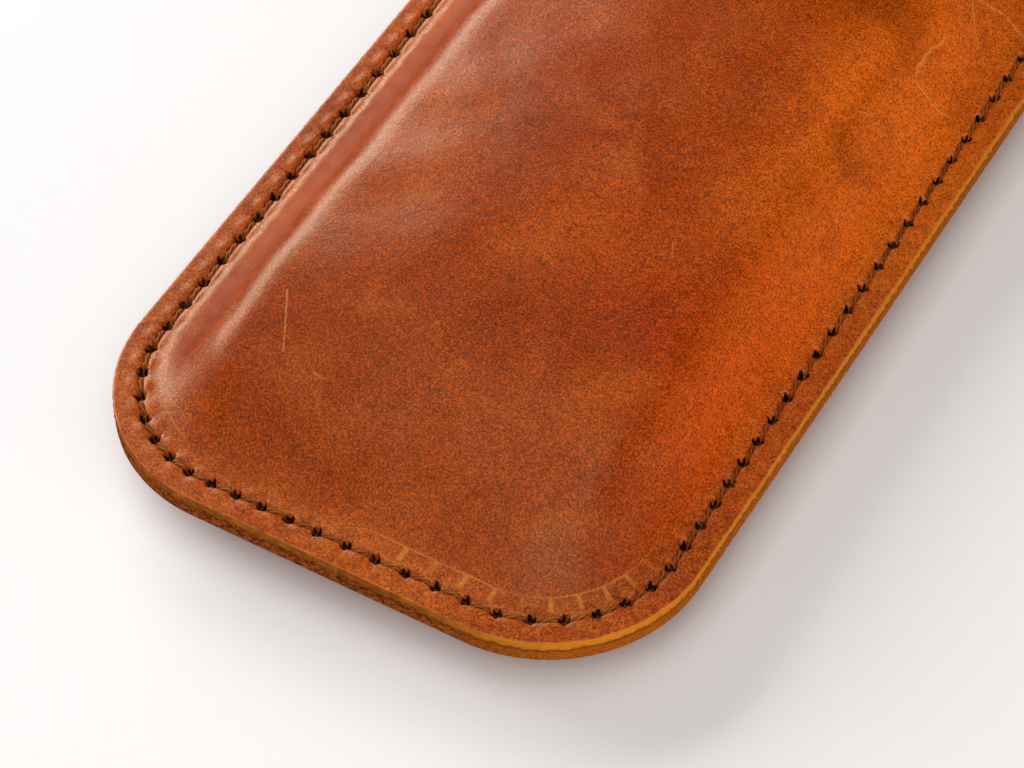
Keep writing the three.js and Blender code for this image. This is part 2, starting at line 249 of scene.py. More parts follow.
class SeamLine:
    """A U of stitches in sheet coordinates, and the holes along it."""

    def __init__(self, half, radius, bottom, holes, flip=1.0):
        self.half, self.radius, self.bottom, self.flip = half, radius, bottom, flip
        self.flat = half - radius
        self.holes = holes

    def locate(self, x, v):
        """Arc length along the line and distance inside it."""
        y = v * self.flip
        side = self.half - np.abs(x)
        end = y - self.bottom
        to_side, to_end = self.radius - side, self.radius - end
        corner = (to_side > 0) & (to_end > 0)
        angle = np.arctan2(to_side, to_end)
        inside = np.where(corner, self.radius - np.hypot(to_side, to_end), np.minimum(side, end))
        up = self.flat + self.radius * math.pi / 2 + (end - self.radius)
        run = np.where(corner, self.flat + angle * self.radius, np.where(side < end, up, np.abs(x)))
        return run * np.where(x < 0, -1, 1), inside

    def point(self, run, inside):
        """Sheet coordinates of a place on the line, some way inside it."""
        side = np.where(run < 0, -1.0, 1.0)
        length = np.abs(run)
        quarter = self.radius * math.pi / 2
        turn = np.clip((length - self.flat) / self.radius, 0, math.pi / 2)
        r = self.radius - inside
        x = side * np.where(length < self.flat, length, self.flat + r * np.sin(turn))
        climb = np.maximum(length - self.flat - quarter, 0)
        y = self.bottom + self.radius - r * np.cos(turn) + climb
        return x, y * self.flip

    def relief(self, x, v):
        """Height of the leather round the stitches, and how deep in a needle hole a point is."""
        run, inside = self.locate(x, v)
        nearest = np.clip(np.searchsorted(self.holes, run), 1, len(self.holes) - 1)
        before, after = self.holes[nearest - 1], self.holes[nearest]
        take = (run - before) > (after - run)
        index = np.where(take, nearest, nearest - 1)
        along = run - self.holes[index]
        r = np.hypot(along, inside)
        theta = np.arctan2(inside, along)
        wobble = np.sin(index * 12.9898) * 43758.5453
        wobble = (wobble - np.floor(wobble)) * 2 * math.pi
        star = 0.68 + 0.12 * np.cos(5 * theta + wobble) + 0.06 * np.cos(2 * theta - wobble)
        beyond = (run < self.holes[0] - 0.6) | (run > self.holes[-1] + 0.6)
        pit = np.where(beyond, 0, ease((star - r) / 0.26 + 0.5))
        middle = bell((after + before) / 2 - run, 1.3)
        slant = thread_offset((run - before) / (after - before))
        height = -0.2 * bell(r, 1.0) - 0.36 * bell(inside - slant, 0.34)
        height += 0.13 * bell(np.abs(inside) - 1.15, 0.6) * middle
        height += 0.07 * bell(r - 0.95, 0.22) * (0.5 + 0.5 * np.cos(3 * theta + wobble))
        height = np.where(beyond, 0, height)
        return height - 0.85 * pit, pit, along


CASE_SEAM = SeamLine(SEAM_HALF, SEAM_RADIUS, SEAM_END_Y, seam_holes())
BACK_SEAM = SeamLine(SEAM_HALF, SEAM_RADIUS, SEAM_END_Y - FOLD_Y, CASE_SEAM.holes)
STRAP_STITCH_HALF = STRAP_HALF - SEAM_MARGIN
FLAP_SEAM_RADIUS = FLAP_CORNER - SEAM_MARGIN
FLAP_TOP_RUN = (
    STRAP_STITCH_HALF - FLAP_SEAM_RADIUS
    + FLAP_SEAM_RADIUS * math.pi / 2
    + TIP - SEAM_MARGIN - FLAP_SEAM_RADIUS + 1.5
)
FLAP_HOLES = np.linspace(-FLAP_TOP_RUN, FLAP_TOP_RUN, 2 * round(FLAP_TOP_RUN / 4.4) + 1)
FLAP_SEAM = SeamLine(
    STRAP_STITCH_HALF, FLAP_SEAM_RADIUS, -TIP + SEAM_MARGIN, FLAP_HOLES, flip=-1.0
)


# ---- Outlines: edge points, ways out and the middle-line point of each column ---------------

def u_outline(half, radius, bottom, top, step, fan, flip=1.0):
    flat = half - radius
    quarter = radius * math.pi / 2
    length = flat + quarter + top - bottom - radius
    count = 2 * int(length / step) + 1
    s = np.linspace(-length, length, count)
    side, run = np.where(s < 0, -1.0, 1.0), np.abs(s)
    turn = np.clip((run - flat) / radius, 0, math.pi / 2)
    out = np.stack([side * np.sin(turn), -np.cos(turn)], -1)
    climb = np.maximum(run - flat - quarter, 0)
    x = np.where(run < flat, s, side * (flat + radius * np.sin(turn)))
    y = bottom + radius - radius * np.cos(turn) + climb
    still = min(length, flat + quarter + 60)
    y_still = bottom + radius + still - flat - quarter
    centre = np.where(run < still, mix(bottom + fan, y_still, run / still), y)
    edge = np.stack([x, y * flip], -1)
    out[:, 1] *= flip
    return edge, out, np.stack([0 * x, centre * flip], -1)


def polyline_outline(points, step, fan):
    """The outline of a half that starts at the bottom's middle, made whole by its mirror."""
    gaps = np.linalg.norm(np.diff(points, axis=0), axis=1)
    run = np.concatenate([[0], np.cumsum(gaps)])
    count = int(run[-1] / step)
    s = np.linspace(0, run[-1], count)
    x, y = np.interp(s, run, points[:, 0]), np.interp(s, run, points[:, 1])
    tangent = np.stack([np.gradient(x), np.gradient(y)], -1)
    tangent[0] = (1, 0)
    tangent /= np.linalg.norm(tangent, axis=1, keepdims=True)
    out = np.stack([tangent[:, 1], -tangent[:, 0]], -1)
    still = min(110, run[-1])
    y_still = np.interp(still, s, y)
    centre = np.where(s < still, mix(y[0] + fan, y_still, s / still), y)
    both = lambda a, sign: np.concatenate([a[:0:-1] * sign, a])
    edge = np.stack([both(x, -1), both(y, 1)], -1)
    ways = np.stack([both(out[:, 0], -1), both(out[:, 1], 1)], -1)
    return edge, ways, np.stack([0 * edge[:, 0], both(centre, 1)], -1)


# ---- Leather pieces ------------------------------------------------------------------------

GRAIN, EDGE, FLESH = 0, 1, 2
LINING_RELIEF = 0.4  # the thin lining is pressed in less than the hide
FINE_SEAM = (2.5, 4.9)  # distances from the edge between which the rows are closest


def hide_rows(ring, middle_rows):
    """Rows as (distance in, share of the way from the ring to the middle, depth, material)."""
    near, far = FINE_SEAM
    rows = [(ring, f, 0, GRAIN) for f in np.linspace(1, 0, middle_rows)[:-1] ** 1.15]
    rows += [(d, 0, 0, GRAIN) for d in np.arange(ring, far, -0.7)]
    rows += [(d, 0, 0, GRAIN) for d in np.arange(far, near, -0.2)]
    rows += [(d, 0, 0, GRAIN) for d in np.linspace(near, 0.35, 6)[1:]]
    rows += [(0.13, 0, 0.02, GRAIN), (0.04, 0, 0.07, EDGE), (0.0, 0, 0.17, EDGE)]
    rows += [(0.0, 0, depth, EDGE) for depth in np.linspace(0.17, LEATHER - 0.16, 10)[1:]]
    rows += [(0.12, 0, LEATHER - 0.02, EDGE), (0.4, 0, LEATHER, FLESH)]
    rows += [(d, 0, LEATHER, FLESH) for d in np.arange(1.2, ring, 1.3)]
    rows += [(ring, f, LEATHER, FLESH) for f in np.linspace(0, 1, middle_rows) ** (1 / 1.15)]
    return rows


def zipper(outer, inner, shares_outer, shares_inner):
    """Triangles between two polylines, stepping along whichever lags behind."""
    faces, i, j = [], 0, 0
    while i < len(outer) - 1 or j < len(inner) - 1:
        step_outer = j == len(inner) - 1 or (
            i < len(outer) - 1 and shares_outer[i + 1] <= shares_inner[j + 1]
        )
        if step_outer:
            faces.append((outer[i], outer[i + 1], inner[j]))
            i += 1
        else:
            faces.append((outer[i], inner[j + 1], inner[j]))
            j += 1
    return faces


def leather_piece(name, outline, surface, outward, rows, seams=(), relief=None, marks=0.0):
    """A closed leather piece. seams are (line, side) with side 1 for the outer face and -1 for
    the inner one; relief is an extra height of the outer face at sheet and space points."""
    edge, out, centre = outline
    columns = len(edge)
    half = columns // 2
    place, seam_data, depth_data, materials = [], [], [], []
    rough_edge = ripple(5, 1.1, 3)
    for distance, share, depth, look in rows:
        ring = edge - out * distance
        xy = ring + (centre - ring) * share
        x, v = xy[:, 0], xy[:, 1]
        base, normal = surface(x, v), normals(surface, x, v, outward)
        at = base - normal * depth
        height, pit, phase = np.zeros(columns), np.zeros(columns), np.full(columns, 9.0)
        run, inside = np.zeros(columns), np.full(columns, 50.0)
        for line, side in seams:
            if (look == FLESH) == (side < 0) and look != EDGE:
                bump, hole, phase = line.relief(x, v)
                height += bump if side > 0 else -LINING_RELIEF * bump
                pit = np.maximum(pit, hole)
            if side > 0 or len(seams) == 1:
                run, inside = line.locate(x, v)
        if relief is not None and look == GRAIN:
            height += relief(x, v, base)
        if look == EDGE:
            worn = rough_edge(np.column_stack([at[:, 0], at[:, 1], at[:, 2] * 2]))
            lane = ease((depth - rows[0][2]) / 1.2)
            shift = out * (worn * (0.03 + 0.09 * lane))[:, None]
            at[:, 0] += shift[:, 0]
            if surface is front_point:
                at[:, 1] += shift[:, 1]
        at = at + normal * height[:, None]
        place.append(at)
        seam_data.append(np.column_stack([run, inside, pit]))
        same = np.ones(columns)
        depth_data.append(np.column_stack([same * depth, same * marks, phase]))
        materials.append(look)
    grid = np.arange(len(rows) * columns).reshape(len(rows), columns)
    grid[0, half + 1:] = grid[0, :half][::-1]
    grid[-1, half + 1:] = grid[-1, :half][::-1]
    faces, looks = [], []
    for r in range(len(rows) - 1):
        a, b = grid[r], grid[r + 1]
        look = max(materials[r], materials[r + 1]) if materials[r] != FLESH else FLESH
        if materials[r] == GRAIN and materials[r + 1] == EDGE:
            look = GRAIN
        quads = np.stack([a[:-1], a[1:], b[1:], b[:-1]], -1)
        faces += [tuple(dict.fromkeys(q)) for q in quads.tolist()]
        looks += [look] * len(quads)
    split = next(i for i, row in enumerate(rows) if row[3] == EDGE) + 4
    share_of = [share * 40 + distance for distance, share, _, _ in rows]
    for column in (0, columns - 1):
        outer, inner = list(grid[:split + 1, column]), list(grid[split:, column][::-1])
        s_outer = [-s for s in share_of[:split + 1]]
        s_inner = [-s for s in share_of[split:][::-1]]
        cap = [f for f in zipper(outer, inner, s_outer, s_inner) if len(set(f)) == 3]
        faces += cap if column == 0 else [f[::-1] for f in cap]
        looks += [EDGE] * len(cap)
    attributes = {"seam": np.concatenate(seam_data), "layer": np.concatenate(depth_data)}
    return mesh_object(name, np.concatenate(place), faces, looks, attributes)


def mesh_object(name, points, faces, looks=None, attributes=None):
    """A mesh object in metres from points in millimetres; unused points are dropped."""
    used = np.unique(np.fromiter((i for f in faces for i in f), dtype=np.int64))
    new_index = np.full(len(points), -1)
    new_index[used] = np.arange(len(used))
    mesh = bpy.data.meshes.new(name)
    faces = [tuple(int(new_index[i]) for i in f) for f in faces]
    mesh.from_pydata((points[used] * MM).tolist(), [], faces)
    if looks is not None:
        mesh.polygons.foreach_set("material_index", np.array(looks, np.int32))
    for key, values in {"rest": points, **(attributes or {})}.items():
        layer = mesh.attributes.new(key, "FLOAT_VECTOR", "POINT")
        layer.data.foreach_set("vector", values[used].astype(np.float32).ravel())
    mesh.polygons.foreach_set("use_smooth", np.ones(len(faces), bool))
    mesh.update()
    if signed_volume(mesh) < 0:
        mesh.flip_normals()
    return add_object(name, mesh)


def add_object(name, data):
    obj = bpy.data.objects.new(name, data)
    bpy.context.scene.collection.objects.link(obj)
    return obj


def tube_faces(rings, around, first=0):
    """Quads between neighbouring rings of points, and a cap on each end."""
    index = first + np.arange(rings * around).reshape(rings, around)
    nxt = np.roll(index, -1, axis=1)
    quads = np.stack([index[:-1], nxt[:-1], nxt[1:], index[1:]], -1).reshape(-1, 4)
    faces = [tuple(q) for q in quads.tolist()]
    return faces + [tuple(index[0][::-1].tolist()), tuple(index[-1].tolist())]


def signed_volume(mesh):
    mesh.calc_loop_triangles()
    triangles = np.empty(len(mesh.loop_triangles) * 3, np.int32)
    mesh.loop_triangles.foreach_get("vertices", triangles)
    points = np.empty(len(mesh.vertices) * 3, np.float32)
    mesh.vertices.foreach_get("co", points)
    a, b, c = points.reshape(-1, 3)[triangles.reshape(-1, 3)].transpose(1, 0, 2).astype(float)
    return float((a * np.cross(b, c)).sum())


# ---- Thread --------------------------------------------------------------------------------

THREAD_RADIUS = 0.27
THREAD_FLATNESS = 0.82
THREAD_SUNK = 0.16
TWIST = 1.35  # length of one turn of the thread's plies


def stitch_tubes(name, line, surface, outward, depth, runs):
    """One twisted tube for each stitch between neighbouring holes, dipping into both."""
    around, along = 15, 34
    points, faces, plies = [], [], []
    for start, stop in runs:
        t = np.linspace(0, 1, along)
        run = mix(start + THREAD_ENTRY, stop - THREAD_ENTRY, t)
        dip = 0.95 * (bell(t, 0.085) + bell(1 - t, 0.085))
        x, v = line.point(run, thread_offset((run - start) / (stop - start)))
        normal = normals(surface, x, v, outward)
        centre = surface(x, v) - normal * (depth + THREAD_SUNK + dip)[:, None]
        tangent = np.gradient(centre, axis=0)
        tangent /= np.linalg.norm(tangent, axis=1, keepdims=True)
        side = np.cross(tangent, normal)
        side /= np.linalg.norm(side, axis=1, keepdims=True)
        up = np.cross(side, tangent)
        theta = np.linspace(0, 2 * math.pi, around, endpoint=False)
        turn = 2 * math.pi * (run - start) / TWIST
        ply = np.cos(3 * theta[None, :] - turn[:, None])
        radius = THREAD_RADIUS * (1 + 0.22 * ply) * (1 - 0.25 * dip[:, None])
        plies.append(ply.ravel())
        ring = (
            centre[:, None, :]
            + side[:, None, :] * (radius * np.cos(theta))[:, :, None]
            + up[:, None, :] * (radius * np.sin(theta) * THREAD_FLATNESS)[:, :, None]
        )
        base = sum(len(p) for p in points)
        points.append(ring.reshape(-1, 3))
        faces += tube_faces(along, around, base)
    lay = np.concatenate(plies)
    attributes = {"seam": np.column_stack([lay, lay, lay])}
    return mesh_object(name, np.concatenate(points), faces, attributes=attributes)


def stitches_between(holes, low, high):
    return [(a, b) for a, b in zip(holes, holes[1:]) if low <= (a + b) / 2 < high]


# ---- Shader helpers ------------------------------------------------------------------------

COLOR_A, COLOR_B, COLOR_RESULT = 6, 7, 2  # the colour sockets of a Mix node


class Shader:
    """A material's node tree, with short names for the nodes used here."""

    def __init__(self, name):
        self.material = bpy.data.materials.new(name)
        self.material.use_nodes = True
        self.tree = self.material.node_tree
        self.surface = self.tree.nodes["Principled BSDF"]

    def put(self, socket, value):
        if isinstance(value, bpy.types.NodeSocket):
            self.tree.links.new(value, socket)
        elif isinstance(value, tuple) and socket.type == "RGBA" and len(value) == 3:
            socket.default_value = (*value, 1)
        else:
            socket.default_value = value

    def node(self, kind, inputs=None, **settings):
        node = self.tree.nodes.new(kind)
        for key, value in settings.items():
            setattr(node, key, value)
        for key, value in (inputs or {}).items():
            self.put(node.inputs[key], value)
        return node

    def math(self, operation, a, b=0.0):
        return self.node("ShaderNodeMath", {0: a, 1: b}, operation=operation).outputs[0]

    def times(self, a, b):
        return self.math("MULTIPLY", a, b)

    def plus(self, a, b):
        return self.math("ADD", a, b)

    def vector(self, operation, a, b=(0, 0, 0), c=(0, 0, 0)):
        inputs = {0: a, 1: b, 2: c}
        return self.node("ShaderNodeVectorMath", inputs, operation=operation).outputs

    def attribute(self, name):
        return self.node("ShaderNodeAttribute", attribute_name=name).outputs["Vector"]

    def parts(self, vector):
        return self.node("ShaderNodeSeparateXYZ", {0: vector}).outputs

    def noise(self, place, size, detail=3.0, roughness=0.55, distortion=0.0, stretch=None):
        if stretch is not None:
            place = self.node(
                "ShaderNodeMapping",
                {"Vector": place, "Rotation": stretch[0], "Scale": stretch[1]},
            ).outputs[0]
        inputs = {
            "Vector": place, "Scale": 1 / size, "Detail": detail,
            "Roughness": roughness, "Distortion": distortion,
        }
        return self.node("ShaderNodeTexNoise", inputs).outputs["Fac"]

    def range(self, value, low, high, to_low=0.0, to_high=1.0, smooth=True):
        kind = "SMOOTHSTEP" if smooth else "LINEAR"
        inputs = {0: value, 1: low, 2: high, 3: to_low, 4: to_high}
        return self.node("ShaderNodeMapRange", inputs, interpolation_type=kind).outputs[0]

    def blend(self, share, a, b, kind="MIX"):
        node = self.node("ShaderNodeMix", data_type="RGBA", blend_type=kind, clamp_factor=True)
        self.put(node.inputs["Factor"], share)
        self.put(node.inputs[COLOR_A], a)
        self.put(node.inputs[COLOR_B], b)
        return node.outputs[COLOR_RESULT]

    def band(self, value, centre, width, soft):
        """1 within a width round a centre, falling to 0 over soft."""
        away = self.math("ABSOLUTE", self.math("SUBTRACT", value, centre))
        return self.range(away, width / 2, width / 2 + soft, 1.0, 0.0)

    def spot(self, parts, x, y, rx, ry, soft=1.0):
        """A soft round patch in x and y."""
        dx = self.math("DIVIDE", self.math("SUBTRACT", parts[0], x), rx)
        dy = self.math("DIVIDE", self.math("SUBTRACT", parts[1], y), ry)
        square = self.plus(self.times(dx, dx), self.times(dy, dy))
        return self.range(self.math("SQRT", square), 1 - soft / 2, 1 + soft / 2, 1.0, 0.0)

    def bump(self, height, strength, distance, normal=None):
        inputs = {"Height": height, "Strength": strength, "Distance": distance * MM}
        if normal is not None:
            inputs["Normal"] = normal
        return self.node("ShaderNodeBump", inputs).outputs[0]

    def finish(self, color, roughness, normal, **constants):
        self.put(self.surface.inputs["Base Color"], color)
        self.put(self.surface.inputs["Roughness"], roughness)
        if normal is not None:
            self.put(self.surface.inputs["Normal"], normal)
        for key, value in constants.items():
            self.put(self.surface.inputs[key.replace("_", " ")], value)
        return self.material


# ---- Materials -----------------------------------------------------------------------------

def segment(sh, place, start, stop, width):
    """A thin line between two places on the front panel, as a share from 0 to 1."""
    start, stop = Vector((*start, 0)), Vector((*stop, 0))
    way = (stop - start).normalized()
    away = sh.vector("SUBTRACT", place, tuple(start))[0]
    along = sh.vector("DOT_PRODUCT", away, tuple(way))["Value"]
    kept = sh.math("MINIMUM", sh.math("MAXIMUM", along, 0), (stop - start).length)
    scaled = sh.node("ShaderNodeVectorMath", {0: tuple(way), "Scale": kept}, operation="SCALE")
    gap = sh.vector("SUBTRACT", away, scaled.outputs[0])[0]
    length = sh.vector("LENGTH", gap)["Value"]
    return sh.range(length, width * 0.3, width, 1.0, 0.0)


WARM_GLOSS = (1.0, 0.82, 0.42, 1.0)

# Colour patches on the front: x, y, half sizes, linear colour and strength. Most are the hide's own
# tone; the two on the right wall (x 34) are painted light, lightening it for light from the right.
TONE_AND_LIGHT_PATCHES = [
    (21, -44, 11, 9, (0.30, 0.014, 0.002), 0.6),
    (7, -52, 12, 8, (0.23, 0.02, 0.003), 0.55),
    (33, -58, 6, 8, (0.27, 0.013, 0.002), 0.6),
    (28, -71, 9, 6, (0.27, 0.016, 0.002), 0.5),
    (-8, -22, 13, 9, (0.22, 0.027, 0.003), 0.5),
    (9, -30, 14, 7, (0.4, 0.05, 0.003), 0.4),
    (10, -3, 14, 12, (0.27, 0.03, 0.002), 0.4),
    # Painted light: these two lighten the right wall for the light falling on it from the right.
    (34, -38, 6, 26, (0.8, 0.11, 0.004), 0.7),
    (34, 12, 13, 30, (0.85, 0.16, 0.006), 0.85),
    (-11, -55, 9, 10, (0.42, 0.056, 0.004), 0.45),
    (-22, -76, 9, 7, (0.4, 0.06, 0.005), 0.4),
    (-12, -60, 26, 20, (0.19, 0.022, 0.002), 0.42),
    (20, -74, 16, 12, (0.24, 0.022, 0.002), 0.4),
]

# Scratches and veins on the front: the places each runs through, its width and strength.
MARKS = [
    ([(-22.8, -60.6), (-20.9, -63.7), (-18.6, -68.3)], 0.17, 0.7),
    ([(27.9, 24.3), (28.6, 23.3), (29.4, 23.4), (30.2, 24.4)], 0.2, 0.6),
    ([(30.2, 24.4), (29.8, 20.5), (29.6, 17.2), (30, 16.1), (30.8, 15.3)], 0.24, 1.0),
    ([(30.8, 15.3), (32.1, 15.7), (33.2, 15.7), (34.1, 16.3), (34.9, 16.9)], 0.24, 1.0),
    ([(30.7, 34.2), (31.9, 35.5), (33.3, 36.8), (34.7, 37.4), (36.8, 37.2)], 0.3, 1.0),
    ([(30.2, 33.1), (31.5, 31.4), (33.5, 29.1)], 0.18, 0.8),
    ([(16.3, 19.2), (22, 17.8), (27, 18.3)], 0.2, 0.35),
    ([(27.3, 3.6), (28.8, 5.5)], 0.18, 0.7),
    ([(17.4, -30.6), (19.3, -33)], 0.13, 0.45),
    ([(-13.6, -69.1), (-12.2, -69.3)], 0.14, 0.6),
]


def hide_lines(sh, rest, seam, layer):
    """Marks in the grain: the presser foot's ladder beside the closed end's stitches, fine
    scratches, and a few veins."""
    slip = sh.times(sh.math("SUBTRACT", sh.noise(rest, 2.2, 1.0), 0.5), 0.3)
    faint = sh.range(sh.noise(rest, 5, 3.0), 0.36, 0.6, 0.25, 1.0)
    inside = sh.plus(seam[1], slip)
    rail = sh.times(sh.band(inside, 3.1, 0.1, 0.12), 0.8)
    rung = sh.times(sh.band(layer[2], -1.6, 0.4, 0.3), sh.band(inside, 2.1, 1.7, 0.4))
    ladder = sh.math("MAXIMUM", rail, sh.times(rung, 0.75))
    at_end = sh.times(sh.range(seam[0], 0, 9), sh.range(seam[0], 40, 52, 1.0, 0.0))
    at_corner = sh.times(sh.band(seam[0], -40, 26, 6), sh.times(rail, 0.4))
    lines = sh.plus(sh.times(ladder, at_end), at_corner)
    lines = sh.times(lines, faint)

    swerve = sh.node("ShaderNodeTexNoise", {"Vector": rest, "Scale": 0.3, "Detail": 2.0})
    offset = sh.vector("SUBTRACT", swerve.outputs["Color"], (0.5, 0.5, 0.5))[0]
    moved = sh.vector("MULTIPLY_ADD", offset, (0.9, 0.9, 0), rest)[0]
    place = sh.vector("MULTIPLY", moved, (1, 1, 0))[0]
    broken = sh.range(sh.noise(rest, 0.7, 2.0), 0.38, 0.52, 0.35, 1.0)
    for places, width, strength in MARKS:
        for start, stop in zip(places, places[1:]):
            line = sh.times(segment(sh, place, start, stop, width), strength)
            lines = sh.math("MAXIMUM", lines, sh.times(line, broken))
    return sh.times(lines, layer[1])


def hole_and_groove_shade(sh, rest, seam, layer):
    """Painted shade: ragged star-shaped needle holes filled dark, and a dark line along the
    thread's outer side where its groove lies in shade.
    """
    along, inside = layer[2], seam[1]
    wobble = sh.times(sh.noise(rest, 9, 1.0), 25)
    theta = sh.math("ARCTAN2", inside, along)
    points = sh.math("COSINE", sh.plus(sh.times(theta, 5), wobble))
    lean = sh.math("COSINE", sh.math("SUBTRACT", sh.times(theta, 2), wobble))
    star = sh.plus(sh.times(points, 0.13), sh.times(lean, 0.07))
    square = sh.plus(sh.times(along, along), sh.times(inside, inside))
    ragged = sh.times(sh.math("SUBTRACT", sh.noise(rest, 0.2, 2.0), 0.5), 0.2)
    rim = sh.math("SUBTRACT", sh.math("SQRT", square), sh.plus(star, ragged))
    # Painted shade filling the needle holes.
    hole = sh.range(rim, 0.66, 0.76, 1.0, 0.0)
    share = sh.math("FRACT", sh.math("DIVIDE", along, MEAN_PITCH))
    line = sh.plus(sh.times(share, -0.3), 0.42)
    # Painted shade: a dark line along the outer side of the thread's groove.
    groove_shade = sh.band(sh.plus(inside, line), 0, 0.05, 0.08)
    between = sh.range(sh.math("ABSOLUTE", along), 2.2, 2.6, 0.75, 0.0)
    return sh.math("MAXIMUM", hole, sh.times(groove_shade, between))


def hide_material(name):
    """The hide's grain side: a waxed pull-up leather, cloudy orange to red-brown."""
    sh = Shader(name)
    rest = sh.attribute("rest")
    parts = sh.parts(rest)
    seam = sh.parts(sh.attribute("seam"))
    layer = sh.parts(sh.attribute("layer"))

    clouds = sh.noise(rest, 40, 3.0, 0.5, 0.6)
    blotch = sh.noise(rest, 13, 4.0, 0.62, 0.5)
    drag = sh.noise(rest, 7, 4.0, 0.65, 0.3, ((0, 0, math.radians(-38)), (1.0, 0.3, 1.0)))
    grain = sh.noise(rest, 0.27, 2.0, 0.55, 0.3)
    mottle = sh.noise(rest, 1.3, 3.0, 0.65)

    color = sh.blend(sh.range(clouds, 0.36, 0.62), (0.31, 0.034, 0.0028), (0.40, 0.058, 0.003))
    # Colour patches: the hide's own tone, and painted light on the right wall.
    for x, y, rx, ry, tint, strength in TONE_AND_LIGHT_PATCHES:
        share = sh.times(sh.spot(parts, x, y, rx, ry, 1.7), strength)
        color = sh.blend(sh.times(share, layer[1]), color, tint)
    color = sh.blend(sh.range(blotch, 0.46, 0.74, 0, 0.5), color, (0.47, 0.085, 0.004))
    color = sh.blend(sh.range(blotch, 0.5, 0.3, 0, 0.35), color, (0.23, 0.024, 0.003))
    color = sh.blend(sh.range(drag, 0.52, 0.76, 0, 0.45), color, (0.23, 0.03, 0.004))

    # The wax is pulled thin where the hide is pinched by the seam.
    pinched = sh.band(seam[1], -0.4, 3.8, 2.4)
    uneven = sh.range(mottle, 0.35, 0.68, 0.3, 1.0)
    pale = sh.times(sh.times(pinched, uneven), 0.42)
    color = sh.blend(pale, color, (0.50, 0.13, 0.02))

    fine = sh.range(grain, 0.33, 0.67, 0.4, 1.5, False)
    coarse = sh.range(mottle, 0.3, 0.7, 0.84, 1.16, False)
    color = sh.blend(1.0, color, sh.times(fine, coarse), "MULTIPLY")
    color = sh.blend(sh.range(grain, 0.52, 0.7, 0, 0.35), color, (0.6, 0.14, 0.007))
    lines = hide_lines(sh, rest, seam, layer)
    color = sh.blend(sh.times(lines, 0.5), color, (0.80, 0.33, 0.05))
    # Painted shade in the needle holes and along the thread's groove.
    color = sh.blend(hole_and_groove_shade(sh, rest, seam, layer), color, (0.008, 0.0015, 0.0005))
    # Painted highlight: a pale line along the grain's rounded edge, uneven along its length.
    rim_highlight_band = sh.band(seam[1], 0.12 - SEAM_MARGIN, 0.06, 0.08)
    painted_light = sh.times(rim_highlight_band, sh.range(mottle, 0.35, 0.6, 0.15, 0.6))
    color = sh.blend(painted_light, color, (0.6, 0.2, 0.06))

    pores = sh.plus(grain, sh.times(mottle, 0.4))
    normal = sh.bump(pores, 0.35, 0.1)
    normal = sh.bump(sh.noise(rest, 4.2, 3.0, 0.6), 0.1, 0.7, normal)
    normal = sh.bump(lines, 0.4, 0.12, normal)
    rough = sh.plus(
        sh.range(blotch, 0.3, 0.7, 0.27, 0.34), sh.range(grain, 0.3, 0.7, 0.05, -0.03)
    )
    return sh.finish(color, rough, normal, Specular_IOR_Level=0.4, Specular_Tint=WARM_GLOSS)


def edge_material(name):
    """A cut edge: the front's upper part is burnished olive-brown, the rest raw fibres. The right
    side is painted a lighter orange for the light falling on it from the right, and a painted
    highlight runs along its top."""
    sh = Shader(name)
    rest = sh.attribute("rest")
    layer = sh.parts(sh.attribute("layer"))
    fibres = sh.noise(rest, 0.55, 4.0, 0.75, 0.6, ((0, 0, 0), (1.0, 1.0, 1.5)))
    clumps = sh.noise(rest, 2.1, 3.0, 0.7)
    shaggy = sh.plus(layer[0], sh.range(clumps, 0.3, 0.7, -0.2, 0.2))
    raw = sh.math("MAXIMUM", sh.range(shaggy, 1.1, 1.35), sh.range(layer[1], 0, 1, 1, 0))
    smooth = sh.blend(sh.range(clumps, 0.35, 0.65), (0.24, 0.06, 0.003), (0.45, 0.125, 0.004))
    rough = sh.blend(sh.range(fibres, 0.4, 0.62), (0.06, 0.008, 0.001), (0.5, 0.1, 0.004))
    # Painted light: the edge grows lighter toward the right, where the light falls from the right.
    painted_light = sh.range(sh.parts(rest)[0], 8, 38)
    smooth = sh.blend(sh.times(painted_light, 0.8), smooth, (0.78, 0.27, 0.008))
    rough = sh.blend(sh.times(painted_light, 0.5), rough, (0.62, 0.16, 0.006))
    color = sh.blend(raw, smooth, rough)
    # Painted highlight along the edge's rounded top.
    rim = sh.times(sh.range(layer[0], 0.02, 0.1, 1.0, 0.0), 0.35)
    color = sh.blend(rim, color, (0.55, 0.2, 0.04))
    height = sh.times(fibres, sh.plus(sh.times(raw, 0.9), 0.1))
    normal = sh.bump(height, 0.7, 0.35)
    rough = sh.range(raw, 0, 1, 0.42, 0.8)
    return sh.finish(color, rough, normal, Specular_IOR_Level=0.15, Specular_Tint=WARM_GLOSS)


def flesh_material(name, dark, light):
    """The brushed inner side of a hide, or suede: a short uneven nap."""
    sh = Shader(name)
    rest = sh.attribute("rest")
    nap = sh.noise(rest, 0.5, 4.0, 0.75, 0.5)
    brushed = sh.noise(rest, 6, 4.0, 0.6, 0.8, ((0, 0, 0.4), (1.0, 0.3, 1.0)))
    color = sh.blend(sh.range(brushed, 0.35, 0.68), dark, light)
    color = sh.blend(sh.range(nap, 0.35, 0.65, 0.4, 0), color, tuple(c * 0.45 for c in dark))
    # Painted shade in the needle holes.
    hole = sh.range(sh.parts(sh.attribute("seam"))[2], 0.25, 0.7)
    color = sh.blend(hole, color, (0.012, 0.006, 0.003))
    normal = sh.bump(nap, 0.6, 0.25)
    return sh.finish(
        color, sh.range(nap, 0.3, 0.7, 0.85, 0.98), normal,
        Sheen_Weight=0.2, Sheen_Roughness=0.5, Sheen_Tint=(1.0, 0.75, 0.5, 1.0),
        Specular_IOR_Level=0.2,
    )


